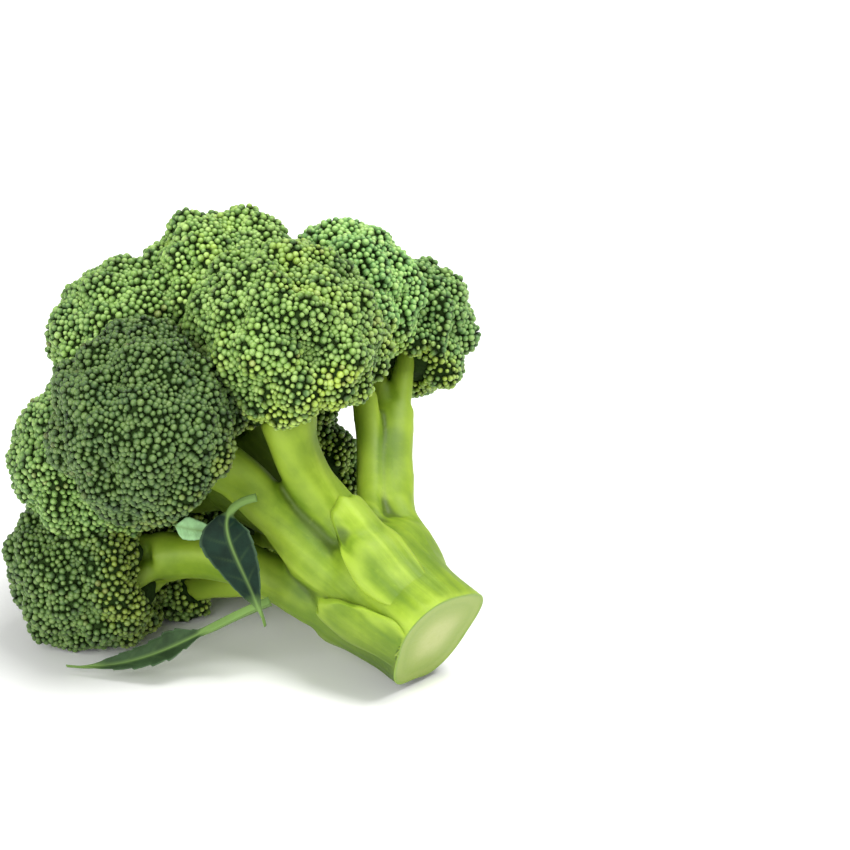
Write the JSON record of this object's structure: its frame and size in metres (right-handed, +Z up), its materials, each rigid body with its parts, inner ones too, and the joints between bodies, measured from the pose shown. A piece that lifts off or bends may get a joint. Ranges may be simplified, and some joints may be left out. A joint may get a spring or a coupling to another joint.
{
  "type": "broccoli head",
  "caption": "Cut head of broccoli lying on its side: ribbed stalk with a flat cut end, branching floret stems, domed crowns of buds and a few leaves.",
  "frame": {"origin": "middle of the footprint on the surface that the head lies on", "axes": "+Z up; the stalk points to +X and -Y from the crown, rising to the crown at about 25 degrees"},
  "size_m": [0.1458, 0.1394, 0.132],
  "materials": {
    "stalk": "smooth waxy plant skin, pale moist cut face",
    "stem": "smooth waxy plant skin with fine long ridges",
    "stub": "smooth waxy plant skin with a torn edge",
    "buds": "closely set round buds, satin",
    "leaf": "waxy leaf, pale midrib"
  },
  "bodies": {
    "root": {"back_crown": "buds", "back_right_crown": "buds", "back_right_stem": "stem", "core_stem": "stem", "cut_leaf": "leaf", "end_crown": "buds", "far_bottom_crown": "buds", "far_bottom_stem": "stem", "far_left_crown": "buds", "far_middle_crown": "buds", "far_middle_stem": "stem", "far_right_crown": "buds", "left_crown": "buds", "long_leaf": "leaf", "lower_left_crown": "buds", "lower_left_stem": "stem", "lower_petiole_stub": "stub", "main_stalk": "stalk", "near_crown": "buds", "near_stem": "stem", "right_crown": "buds", "right_stem": "stem", "short_leaf": "leaf", "small_bottom_crown": "buds", "small_bottom_stem": "stem", "top_crown": "buds", "top_left_crown": "buds", "upper_crown": "buds", "upper_petiole_stub": "stub", "upper_stem": "stem"}
  },
  "joints": []
}
